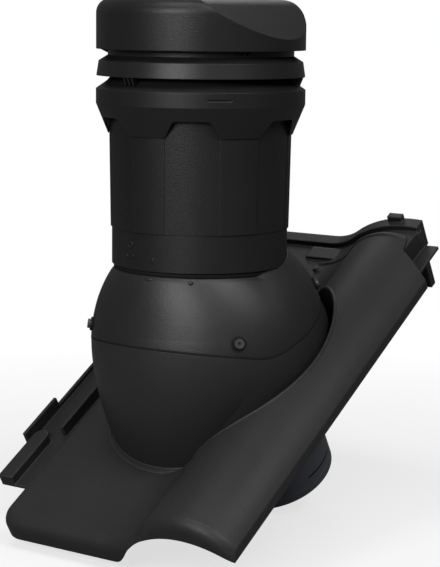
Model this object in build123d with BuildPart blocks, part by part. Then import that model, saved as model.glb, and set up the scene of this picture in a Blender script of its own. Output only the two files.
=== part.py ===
from build123d import *
from math import asin, atan2, cos, degrees, radians, sin, sqrt
import os

# Roof tile vent: a plastic roof tile with a domed foot, a screwed-on hood,
# and an upright insulated vent pipe with a louvred head.
# Millimetres, +Z up, +X across the roof, +Y up the roof.
# The origin is the middle of the face that rests on the roof batten.

# Roof, and the pipe's place up the slope
pitch = 30.0
pipe_u = -240.0

# Tile, measured across (x), up the slope (u) and square to the pan (h)
pan_h = 24.0
head_u = 41.0
front_u = -407.0
slab_foot = -96.0
pan_left = -122.0
pan_edge_radius = 10.5
skin = 3.4
lip_depth = 20.0
lip_radius = 12.0
lip_corner_radius = 22.0

# Roll, the raised half of the tile
roll_x = 93.0
roll_height = 45.5
roll_radius = 60.0
roll_foot_x = 0.0
roll_right = 142.0
roll_under_radius = 90.0
roll_under_foot_x = 8.0

# Head of the tile, where the roll is sunk for the tile above
sunk_u = 0.0
sunk_crest = 30.0
sunk_radius = 106.0
head_rib_height = 4.0
head_rib_width = 13.0
head_groove_depth = 1.6
head_groove_width = 7.0
lug_x = 79.0
lug_width = 15.0
lug_height = 5.0
ridge_height = 1.2
ridge_width = 2.4
shelf_x = 5.0
shelf_width = 44.0
shelf_height = 2.6
shelf_u = 5.0
shelf_length = 17.0
boss_x = 4.0
boss_u = -11.0
boss_radius = 3.2
boss_height = 2.8
notch_u = -34.0
notch_inner_u = -18.0
notch_inner_x = 115.0
notch_top_x = 111.0
head_right = 106.0
tongue_right = 120.6
tongue_front_u = -30.0
tongue_back_u = 34.0
tongue_h = 5.0
tongue_thickness = 3.0

# Batten seat and nibs
nib_width = 34.0
nib_depth = 14.0
nib_thickness = 8.0
batten_width = 50.0
batten_gap = 1.0
seat_rib_x = 90.0
seat_rib_width = 12.0

# Side lock on the left edge
lock_front_u = -345.0
lock_front_x = -168.0
lock_left = -176.0
lock_skin = 3.0
lock_flange_top = 7.5
lock_rib_width = 3.2
lock_rib_x = -142.0
lock_rib_u = -274.0
lock_rib_top = 14.5
hump_top = 12.0
hump_length = 58.0
hump_width = 16.0
tab_u = -292.0
tab_length = 54.0
tab_top = 16.0

# Pipe, measured upwards from the foot of the outer shell
shell_rise = 177.5
shell_foot_radius = 80.05
shell_top_radius = shell_foot_radius + 1.85
shell_height = 118.0
shell_wall = 2.4
panel_step = 0.6
panel_margin = 0.3
sleeve_radius = shell_foot_radius - 1.15
sleeve_drop = 33.0
sleeve_wall = 2.3
tongue_height = 22.0
pipe_fit = 0.35
flange_thickness = 2.3
flange_z = -5.0

# Dome, an ellipsoid whose axis is square to the pan
neck_gap = 0.4
neck_radius = sleeve_radius - sleeve_wall - neck_gap
neck_wall = 2.4
neck_seal_thickness = 1.6
neck_blend = 8.0
pocket_gap = 0.5
dome_u = -189.0
dome_rise = 59.6
dome_radius = neck_radius + 31.3
dome_height = dome_radius - 9.0
dome_wall = 3.0
dome_overlap = 24.0
foot_left = dome_radius - 1.5
foot_right = dome_radius - 12.5
foot_length = dome_radius + 16.0
foot_bulge = 2.5
foot_sections = 7
seam_gap = 0.6
well_half_width = dome_radius + 2.5
well_half_length = dome_radius + 26.5
well_foot_gap = 4.0

# Hood over the dome
hood_wall = 2.2
hood_fit = 0.3
rim_front_slope = -0.135
rim_back_slope = 0.395
rim_meet_y = -29.8
rim_meet_z = -106.0
rim_bend_radius = 50.0

# Hood screws: distance from the dome's axis over its radius, and angle from the tile's X axis
screw_places = ((0.903, -34.5), (0.992, 41.4))
screw_radius = 2.0
screw_length = 13.0
screw_hole_gap = 0.3
screw_head_radius = 4.3
screw_head_height = 2.6
screw_recess_radius = 1.5
screw_recess_depth = 1.8
washer_radius = 6.3
washer_thickness = 1.6

# Inner duct and the spigot below the tile
duct_radius = 55.0
duct_wall = 2.4
duct_top = shell_height + 10.0
duct_foot = -10.0
socket_wall = 2.5
socket_top = 18.0
bead_height = 6.0
bead_swell = 3.2
bead_z = 8.0
elbow_drop = 25.0
elbow_radius = 70.0
spigot_end = -132.0
spigot_ring_length = 8.0
ring_gap = 0.7
ring_fit = 0.15
ring_tongue_wall = 1.8
ring_tongue_length = 9.0
seal_groove_wall = 1.2
insulation_fit = 0.4
centring_thickness = 3.0

# Louvred head
collar_throat = shell_top_radius - 1.4
collar_throat_z = shell_height + 15.0
collar_neck_top = shell_height + 32.0
collar_slope_run = 3.0
collar_slope_drop = 3.6
collar_radius = shell_top_radius + 11.4
collar_band_top = shell_height + 4.5
collar_band_foot = shell_height - 8.4
collar_skirt_radius = shell_top_radius + 0.7
collar_foot = shell_height - 34.7
collar_foot_edge = 0.9
collar_wall = 2.2
lobe_count = 6
arch_foot_angle = 33.6
arch_top_angle = 19.5
arch_height = 14.7
arch_radius = 4.0
slot_length = 22.0
slot_width = 1.8
slot_depth = 1.0
slot_angle = 45.0
louvre_foot = collar_throat_z + 1.0
louvre_foot_radius = collar_radius - 0.4
louvre_top_radius = collar_radius - 2.4
louvre_top = louvre_foot + 13.0
louvre_throat = collar_throat + 2.3
louvre_throat_z = louvre_foot + 18.0
louvre_wall = 2.0
louvre_neck_top = louvre_foot + 38.0
cap_radius = collar_radius - 0.2
cap_foot = shell_height + 39.3
cap_top = shell_height + 83.5
cap_wall = 2.5
cap_shoulder = 13.0
facet_x = cap_radius - 44.1
facet_slope = 0.776
facet_bend = 28.0
post_count = 3
cap_post_turn = -30.0
louvre_post_turn = -98.0
post_ribs = 3
post_rib_width = 1.6
post_rib_pitch = 4.6
post_rib_height = 9.5
post_rib_rise = 6.0

# Frames of reference
tile = Plane(origin=(0, 0, 0), x_dir=(1, 0, 0), z_dir=(0, -sin(radians(pitch)), cos(radians(pitch))))
pipe_foot = tile.from_local_coords(Vector(0, pipe_u, pan_h))
pipe_y = pipe_foot.Y
shell_z = pipe_foot.Z + shell_rise
upright = Plane(origin=(0, pipe_y, shell_z), x_dir=(1, 0, 0), z_dir=(0, -1, 0))
pipe_axis = Axis((0, pipe_y, shell_z), (0, 0, 1))
side_on = Plane(origin=(0, pipe_y, shell_z), x_dir=(0, 1, 0), z_dir=(1, 0, 0))
dome_centre = tile.from_local_coords(Vector(0, dome_u, pan_h + dome_rise))
dome_plane = Plane(origin=dome_centre, x_dir=(1, 0, 0), z_dir=tile.z_dir)
dome_section = Plane(origin=dome_centre, x_dir=(1, 0, 0), z_dir=-tile.y_dir)
dome_axis = Axis(dome_centre, tile.z_dir)


def across(u):
    """The plane that cuts the tile across, at u up the slope, seen from below."""
    return Plane(origin=tile.from_local_coords(Vector(0, u, pan_h)), x_dir=(1, 0, 0), z_dir=-tile.y_dir)


def level(z):
    """The level plane at height z of the pipe."""
    return Plane(origin=(0, pipe_y, shell_z + z))


def spin(points, mode=Mode.ADD):
    """Turn a closed half section, given as (radius, height) corners, about the pipe's axis."""
    with BuildSketch(upright) as half:
        with BuildLine():
            Polyline(*points, close=True)
        make_face()
    revolve(half.sketch, axis=pipe_axis, mode=mode)


# Cap
def cap_form(radius, foot, top, shoulder, facet_start):
    """The cap's form: a round drum with a rounded shoulder, cut on one side by a long facet."""
    with BuildPart() as form:
        with BuildSketch(upright):
            with BuildLine():
                Polyline((0, top), (0, foot), (radius, foot), (radius, top - shoulder))
                RadiusArc((radius, top - shoulder), (radius - shoulder, top), -shoulder)
                Line((radius - shoulder, top), (0, top))
            make_face()
        revolve(axis=pipe_axis)
        reach = 2 * radius
        with BuildSketch(upright):
            with BuildLine():
                FilletPolyline(
                    (0, top),
                    (facet_start, top),
                    (facet_start + reach, top - facet_slope * reach),
                    radius=facet_bend,
                )
                Polyline(
                    (facet_start + reach, top - facet_slope * reach),
                    (facet_start + reach, top + reach),
                    (0, top + reach),
                    (0, top),
                )
            make_face()
        extrude(amount=reach, both=True, mode=Mode.SUBTRACT)
    return form.part


def posts(corners, first_turn):
    """Groups of upright ribs about the pipe's axis, with the section given as (radius, height) corners."""
    with BuildPart() as ribs:
        for post in range(post_count):
            turn = first_turn + 360 / post_count * post
            post_plane = Plane(
                origin=(0, pipe_y, shell_z),
                x_dir=(cos(radians(turn)), sin(radians(turn)), 0),
                z_dir=(sin(radians(turn)), -cos(radians(turn)), 0),
            )
            for rib in range(post_ribs):
                side_step = (rib - (post_ribs - 1) / 2) * post_rib_pitch
                with BuildSketch(post_plane.offset(side_step)):
                    with BuildLine():
                        Polyline(*corners, close=True)
                    make_face()
                extrude(amount=post_rib_width / 2, both=True)
    return ribs.part


with BuildPart() as cap:
    add(cap_form(cap_radius, cap_foot, cap_top, cap_shoulder, facet_x))
    add(
        cap_form(
            cap_radius - cap_wall,
            cap_foot,
            cap_top - cap_wall,
            cap_shoulder - cap_wall,
            facet_x - cap_wall * facet_slope / 2,
        ),
        mode=Mode.SUBTRACT,
    )
    rib_inner = louvre_throat - louvre_wall
    rib_corners = [
        (rib_inner, louvre_neck_top),
        (louvre_throat + pipe_fit, louvre_neck_top),
        (louvre_throat + pipe_fit, louvre_throat_z + post_rib_width),
        (cap_radius - cap_wall, cap_foot),
        (cap_radius - cap_wall, cap_foot + post_rib_height),
        (rib_inner, louvre_neck_top + post_rib_rise),
    ]
    add(posts(rib_corners, cap_post_turn))
cap.part.label = "cap"

# Louvre ring
with BuildPart() as louvre_ring:
    spin(
        [
            (louvre_foot_radius, louvre_foot),
            (louvre_top_radius, louvre_top),
            (louvre_throat, louvre_throat_z),
            (louvre_throat, louvre_neck_top),
            (louvre_throat - louvre_wall, louvre_neck_top),
            (louvre_throat - louvre_wall, collar_neck_top + louvre_wall),
            (collar_throat - collar_wall, collar_neck_top + louvre_wall),
            (collar_throat - collar_wall, collar_neck_top),
            (louvre_throat, collar_neck_top),
            (louvre_top_radius - louvre_wall, louvre_top - louvre_wall),
            (louvre_foot_radius - louvre_wall, louvre_foot),
        ]
    )
    slope_top = collar_throat + collar_slope_run, collar_throat_z - collar_slope_drop
    rib_corners = [
        (collar_throat + pipe_fit, collar_throat_z + pipe_fit),
        (slope_top[0] + pipe_fit, slope_top[1] + pipe_fit),
        ((slope_top[0] + collar_radius) / 2 + pipe_fit, (slope_top[1] + collar_band_top) / 2 + pipe_fit),
        (louvre_foot_radius - louvre_wall / 2, louvre_foot),
        (louvre_top_radius - louvre_wall / 2, louvre_top - louvre_wall / 2),
        (louvre_throat, collar_neck_top + louvre_wall / 2),
        (collar_throat + pipe_fit, collar_neck_top + louvre_wall / 2),
    ]
    add(posts(rib_corners, louvre_post_turn))
louvre_ring.part.label = "louvre_ring"

# Collar
with BuildPart() as collar:
    spin(
        [
            (collar_throat, collar_neck_top),
            (collar_throat, collar_throat_z),
            (collar_throat + collar_slope_run, collar_throat_z - collar_slope_drop),
            (collar_radius, collar_band_top),
            (collar_radius, collar_band_foot),
            (collar_skirt_radius, collar_foot),
            (collar_skirt_radius - collar_foot_edge, collar_foot),
            (collar_radius - collar_wall, collar_band_foot + collar_foot_edge),
            (collar_radius - collar_wall, shell_height),
            (collar_throat - collar_wall, shell_height),
            (collar_throat - collar_wall, collar_neck_top),
        ]
    )
    for lobe in range(lobe_count):
        turn = 360 / lobe_count * (lobe + 0.5) - 90
        arch_plane = Plane(
            origin=(0, pipe_y, shell_z + collar_foot),
            x_dir=(-sin(radians(turn)), cos(radians(turn)), 0),
            z_dir=(cos(radians(turn)), sin(radians(turn)), 0),
        )
        half_foot = collar_skirt_radius * sin(radians(arch_foot_angle / 2))
        half_top = collar_radius * sin(radians(arch_top_angle / 2))
        with BuildSketch(arch_plane) as arch:
            with BuildLine():
                Polyline((-half_foot, -1), (-half_foot, 0), (-half_top, arch_height))
                Polyline((-half_top, arch_height), (half_top, arch_height), (half_foot, 0))
                Polyline((half_foot, 0), (half_foot, -1), (-half_foot, -1))
            make_face()
            fillet(arch.vertices().group_by(Axis.Y)[-1], arch_radius)
        extrude(amount=2 * collar_radius, mode=Mode.SUBTRACT)
    slot_z = (collar_band_top + collar_band_foot) / 2
    for turn in (slot_angle - 90, slot_angle + 90):
        slot_way = Vector(cos(radians(turn)), sin(radians(turn)), 0)
        slot_floor = Vector(0, pipe_y, shell_z + slot_z) + slot_way * (collar_radius - slot_depth)
        with BuildSketch(Plane(origin=slot_floor, x_dir=(-slot_way.Y, slot_way.X, 0), z_dir=slot_way)):
            SlotOverall(slot_length, slot_width)
        extrude(amount=collar_wall, mode=Mode.SUBTRACT)
collar.part.label = "collar"

# Outer pipe, with a shallow panel under each arch of the collar
with BuildPart() as shell_core:
    spin(
        [
            (0, 0),
            (shell_foot_radius - panel_step, 0),
            (shell_top_radius - panel_step, shell_height),
            (0, shell_height),
        ]
    )
with BuildPart() as outer_pipe:
    spin(
        [
            (shell_foot_radius, 0),
            (shell_top_radius, shell_height),
            (shell_top_radius - shell_wall, shell_height),
            (shell_foot_radius - shell_wall, 0),
        ]
    )
    for lobe in range(lobe_count):
        turn = 360 / lobe_count * (lobe + 0.5) - 90
        panel_way = Vector(cos(radians(turn)), sin(radians(turn)), 0)
        panel_side = Vector(-panel_way.Y, panel_way.X, 0)
        panel_plane = Plane(origin=(0, pipe_y, shell_z), x_dir=panel_side, z_dir=panel_way)
        half_width = shell_top_radius * sin(radians(arch_foot_angle / 2)) + panel_margin
        with BuildSketch(panel_plane):
            with Locations((0, shell_height / 2)):
                Rectangle(2 * half_width, shell_height)
        column = extrude(amount=2 * shell_top_radius, mode=Mode.PRIVATE)
        add(column - shell_core.part, mode=Mode.SUBTRACT)
outer_pipe.part.label = "outer_pipe"

# Sleeve that locks the pipe onto the hood
sleeve_inner = sleeve_radius - sleeve_wall
tongue_radius = shell_foot_radius - shell_wall - pipe_fit
tongue_inner = tongue_radius - sleeve_wall
bead_radius = duct_radius + pipe_fit + socket_wall + bead_swell
bead_clear = bead_radius + insulation_fit
with BuildPart() as pipe_sleeve:
    spin(
        [
            (sleeve_radius, -sleeve_drop),
            (sleeve_radius, 0),
            (tongue_radius, 0),
            (tongue_radius, tongue_height),
            (tongue_inner, tongue_height),
            (tongue_inner, flange_z + flange_thickness),
            (bead_clear, flange_z + flange_thickness),
            (bead_clear, flange_z),
            (sleeve_inner, flange_z),
            (sleeve_inner, -sleeve_drop),
        ]
    )
pipe_sleeve.part.label = "pipe_sleeve"

# Insulation between the outer pipe and the duct
with BuildPart() as insulation:
    spin(
        [
            (tongue_inner - insulation_fit, flange_z + flange_thickness),
            (tongue_inner - insulation_fit, shell_height - centring_thickness),
            (duct_radius + insulation_fit, shell_height - centring_thickness),
            (duct_radius + insulation_fit, socket_top + insulation_fit),
            (bead_clear, socket_top + insulation_fit),
            (bead_clear, flange_z + flange_thickness),
        ]
    )
insulation.part.label = "insulation"

# Centring ring on top of the insulation
shell_inner_top = shell_top_radius - shell_wall
with BuildPart() as centring_ring:
    spin(
        [
            (duct_radius + pipe_fit, shell_height - centring_thickness),
            (shell_inner_top - 3 * pipe_fit, shell_height - centring_thickness),
            (shell_inner_top - 3 * pipe_fit, shell_height),
            (duct_radius + pipe_fit, shell_height),
        ]
    )
centring_ring.part.label = "centring_ring"

# Inner duct
with BuildPart() as inner_duct:
    spin(
        [
            (duct_radius, duct_foot),
            (duct_radius, duct_top),
            (duct_radius - duct_wall, duct_top),
            (duct_radius - duct_wall, duct_foot),
        ]
    )
inner_duct.part.label = "inner_duct"

# Spigot: a socket under the inner duct, an elbow of the roof's pitch, and a pipe square to the tile
socket_inner = duct_radius + pipe_fit
spigot_radius = socket_inner + socket_wall
elbow_point = Vector(0, pipe_y, shell_z - elbow_drop)
end_point = elbow_point - tile.z_dir * (tile.to_local_coords(elbow_point).Z - pan_h - spigot_end)
seal_half = bead_height / 2 - seal_groove_wall
seal_section = [
    (duct_radius, bead_z - seal_half),
    (bead_radius - seal_groove_wall, bead_z - seal_half),
    (bead_radius - seal_groove_wall, bead_z + seal_half),
    (duct_radius, bead_z + seal_half),
]
with BuildPart() as duct_spigot:
    with BuildLine():
        FilletPolyline(
            (0, pipe_y, shell_z + socket_top),
            elbow_point,
            end_point,
            radius=elbow_radius,
        )
    with BuildSketch(level(socket_top)):
        Circle(spigot_radius)
        Circle(socket_inner, mode=Mode.SUBTRACT)
    sweep()
    spin(
        [
            (spigot_radius - socket_wall / 2, bead_z - bead_height / 2),
            (bead_radius, bead_z - bead_height / 2),
            (bead_radius, bead_z + bead_height / 2),
            (spigot_radius - socket_wall / 2, bead_z + bead_height / 2),
        ]
    )
    spin(seal_section, Mode.SUBTRACT)
    ring_end = Plane(origin=end_point, x_dir=(1, 0, 0), z_dir=tile.z_dir)
    with BuildSketch(ring_end):
        Circle(spigot_radius + pipe_fit)
    extrude(amount=spigot_ring_length + ring_gap, mode=Mode.SUBTRACT)
duct_spigot.part.label = "duct_spigot"

# Rubber ring in the socket's bead
with BuildPart() as duct_seal:
    spin(seal_section)
duct_seal.part.label = "duct_seal"

# End ring, with a tongue up inside the spigot
tongue_outer = socket_inner - ring_fit
with BuildPart() as spigot_ring:
    with BuildSketch(ring_end):
        Circle(spigot_radius)
        Circle(tongue_outer - ring_tongue_wall, mode=Mode.SUBTRACT)
    extrude(amount=spigot_ring_length)
    with BuildSketch(ring_end.offset(spigot_ring_length)):
        Circle(tongue_outer)
        Circle(tongue_outer - ring_tongue_wall, mode=Mode.SUBTRACT)
    extrude(amount=ring_tongue_length)
spigot_ring.part.label = "spigot_ring"

# Hood
def dome_form(shrink):
    """The dome's ellipsoid, made smaller all round by shrink."""
    with BuildPart() as form:
        with BuildSketch(dome_section):
            with BuildLine():
                wide, high = dome_radius - shrink, dome_height - shrink
                arc = EllipticalCenterArc((0, 0), wide, high, -90, arc_size=180)
                Line(arc @ 1, arc @ 0)
            make_face()
        revolve(axis=dome_axis)
    return form.part


def below_rim(lift):
    """Everything below the hood's rim line, which is raised by lift."""
    far = 2 * dome_radius
    front = (-far, rim_meet_z + lift - rim_front_slope * (far + rim_meet_y))
    back = (far, rim_meet_z + lift + rim_back_slope * (far - rim_meet_y))
    with BuildPart() as block:
        with BuildSketch(side_on):
            with BuildLine():
                FilletPolyline(front, (rim_meet_y, rim_meet_z + lift), back, radius=rim_bend_radius)
                Polyline(back, (far, -2 * far), (-far, -2 * far), front)
            make_face()
        extrude(amount=far, both=True)
    return block.part


def drum(radius, foot, top):
    """A plain round column about the pipe's axis."""
    with BuildPart() as column:
        with BuildSketch(level(foot)):
            Circle(radius)
        extrude(amount=top - foot)
    return column.part


def on_dome(x, u):
    """The plane that touches the hood's outside at x and u, measured from the dome's axis."""
    w = dome_height * sqrt(1 - (x**2 + u**2) / dome_radius**2)
    out = Vector(x / dome_radius**2, u / dome_radius**2, w / dome_height**2)
    middle = dome_plane.from_local_coords(Vector(x, u, w))
    way = dome_plane.from_local_coords(Vector(x, u, w) + out) - middle
    return Plane(origin=middle, z_dir=way)


screw_planes = []
for reach, angle in screw_places:
    across_roof = dome_radius * reach * cos(radians(angle))
    up_roof = dome_radius * reach * sin(radians(angle))
    screw_planes += [on_dome(-across_roof, up_roof), on_dome(across_roof, up_roof)]
pocket_radius = sleeve_radius + pocket_gap
pocket_floor = -sleeve_drop - pocket_gap
neck_foot = pocket_floor - dome_height / 2
neck_top = flange_z - neck_seal_thickness
with BuildPart() as hood:
    add(dome_form(0))
    dome_edges = hood.edges()
    add(drum(neck_radius, neck_foot, neck_top))
    neck_edges = (hood.edges() - dome_edges).filter_by(lambda edge: (edge @ 0.5).Z < shell_z + neck_top - 1)
    fillet(neck_edges, neck_blend)
    ring = drum(pocket_radius, pocket_floor, dome_height) - drum(neck_radius, pocket_floor, dome_height)
    add(ring, mode=Mode.SUBTRACT)
    hollow = dome_form(hood_wall) - drum(pocket_radius + hood_wall, pocket_floor - hood_wall, dome_height)
    add(hollow, mode=Mode.SUBTRACT)
    add(drum(neck_radius - neck_wall, neck_foot, dome_height), mode=Mode.SUBTRACT)
    add(below_rim(0), mode=Mode.SUBTRACT)
    split(bisect_by=dome_plane, keep=Keep.TOP)
    with BuildSketch(*screw_planes):
        Circle(screw_radius + screw_hole_gap)
    extrude(amount=-screw_length, mode=Mode.SUBTRACT)
hood.part.label = "hood"

# Hood screws and their washers
with BuildPart() as hood_washers:
    with BuildSketch(*screw_planes):
        Circle(washer_radius)
        Circle(screw_radius + screw_hole_gap, mode=Mode.SUBTRACT)
    extrude(amount=washer_thickness)
hood_washers.part.label = "hood_washers"

with BuildPart() as hood_screws:
    with BuildSketch(*[plane.offset(washer_thickness) for plane in screw_planes]):
        Circle(screw_head_radius)
    extrude(amount=screw_head_height)
    with BuildSketch(*[plane.offset(washer_thickness) for plane in screw_planes]):
        Circle(screw_radius)
    extrude(amount=-screw_length)
    with BuildSketch(*[plane.offset(washer_thickness + screw_head_height) for plane in screw_planes]):
        Circle(screw_recess_radius)
    extrude(amount=-screw_recess_depth, mode=Mode.SUBTRACT)
hood_screws.part.label = "hood_screws"

# Rubber ring between the hood's neck and the sleeve
with BuildPart() as neck_seal:
    spin(
        [
            (neck_radius, neck_top),
            (neck_radius, flange_z),
            (neck_radius - neck_wall, flange_z),
            (neck_radius - neck_wall, neck_top),
        ]
    )
neck_seal.part.label = "neck_seal"


# Tile
def tile_line(base, foot_x, crest, radius, off, left, right):
    """Draws the tile's outline across: the pan at base, the valley and the roll's arc, moved out by off."""
    run = roll_x - foot_x
    hub = crest - radius
    valley = (run**2 + hub**2 - radius**2) / (2 * crest)
    turn = atan2(run, valley - hub)
    beyond = asin((right - roll_x) / (radius + off))
    pan_line = Line((left, base + off), (foot_x, base + off))
    valley_arc = JernArc((foot_x, base + off), (1, 0), valley - off, degrees(turn))
    roll_arc = JernArc(valley_arc @ 1, valley_arc % 1, radius + off, -degrees(turn + beyond))
    return pan_line @ 0, roll_arc @ 1


tile_top = (0, roll_foot_x, roll_height, roll_radius)
tile_under = (-lip_depth, roll_under_foot_x, roll_height, roll_under_radius)
sunk_top = (0, roll_foot_x, sunk_crest, sunk_radius)


def slab(line, off, left, right, low_u, high_u):
    """Everything under a tile line that is moved out by off, between two places up the slope."""
    with BuildPart() as form:
        with BuildSketch(across(high_u)):
            with BuildLine():
                first, last = tile_line(*line, off, left, right)
                Polyline(last, (right, slab_foot), (left, slab_foot), first)
            make_face()
        extrude(amount=high_u - low_u)
    return form.part


def at(edge):
    """The middle of an edge, measured in the tile's frame."""
    return tile.to_local_coords(edge @ 0.5)


def is_square_to_tile(edge):
    """Tells whether a straight edge runs square to the pan."""
    return abs((edge % 0.5).dot(tile.z_dir)) > 0.99


def tile_form(inset):
    """The tile's top form, made smaller on every side by inset, over a deep flat foot."""
    left = pan_left + inset
    with BuildPart() as form:
        add(slab(tile_top, -inset, left, roll_right - inset, front_u + inset, head_u - inset))
        corners = form.edges().filter_by(is_square_to_tile)
        fillet(corners.sort_by(lambda edge: at(edge).X + at(edge).Y)[0], lip_corner_radius - inset)
        rim = form.edges().filter_by(
            lambda edge: at(edge).Z > pan_h - inset - 1
            and min(at(edge).X - left, at(edge).Y - front_u) < lip_corner_radius
            and not is_square_to_tile(edge)
        )
        fillet(rim, pan_edge_radius - inset)
    return form.part


def dome_level(rise):
    """The plane at height rise over the pan, centred on the dome's axis."""
    middle = tile.from_local_coords(Vector(0, dome_u, pan_h + rise))
    return Plane(origin=middle, x_dir=(1, 0, 0), z_dir=tile.z_dir)


def well_form(grow):
    """The well round the dome's foot, made larger on every side by grow."""
    top_x, top_u = well_half_width + grow, well_half_length + grow
    foot_x = foot_right + well_foot_gap + grow
    foot_u = foot_length + well_foot_gap + grow
    with BuildPart() as form:
        with BuildSketch(dome_level(0)) as foot:
            Ellipse(foot_x, foot_u)
        with BuildSketch(dome_level(roll_height + 1)):
            Ellipse(top_x, top_u)
        loft()
        if grow > 0:
            extrude(foot.sketch, amount=-grow)
    return form.part


def dome_foot(shrink):
    """The dome between its equator and the pan, made smaller by shrink, and on down through the skin."""
    start = dome_radius - shrink
    with BuildPart() as form:
        for section in range(foot_sections):
            part = 1 - section / (foot_sections - 1)
            ease = sin(radians(90 * part)) ** 2
            swell = foot_bulge * sin(radians(180 * part)) ** 2
            wide_left, wide_right, long = (
                start + ease * (end - shrink - start) + swell for end in (foot_left, foot_right, foot_length)
            )
            with BuildSketch(dome_level(dome_rise * (1 - part))):
                with BuildLine():
                    EllipticalCenterArc((0, 0), wide_right, long, -90, arc_size=180)
                    EllipticalCenterArc((0, 0), wide_left, long, 90, arc_size=180)
                make_face()
        loft()
        foot_face = form.faces().sort_by(lambda face: tile.to_local_coords(face.center()).Z)[0]
        extrude(foot_face, amount=skin + shrink)
    return form.part


def lower_dome(shrink):
    """The tile's own dome: flush with the hood below the rim, and stepped in under the hood above it."""
    with BuildPart() as form:
        add(dome_form(shrink) & below_rim(-seam_gap - shrink))
        add(dome_form(hood_wall + hood_fit + shrink) & below_rim(dome_overlap))
        split(bisect_by=dome_plane, keep=Keep.TOP)
        add(dome_foot(shrink))
    return form.part


def tile_box(x, u, bottom, top, width, length):
    """A block of the tile, given by its middle in x and u and by its heights above the batten."""
    with BuildPart() as block:
        foot = tile.from_local_coords(Vector(x, u, bottom))
        with BuildSketch(Plane(origin=foot, x_dir=(1, 0, 0), z_dir=tile.z_dir)):
            Rectangle(width, length)
        extrude(amount=top - bottom)
    return block.part


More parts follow.
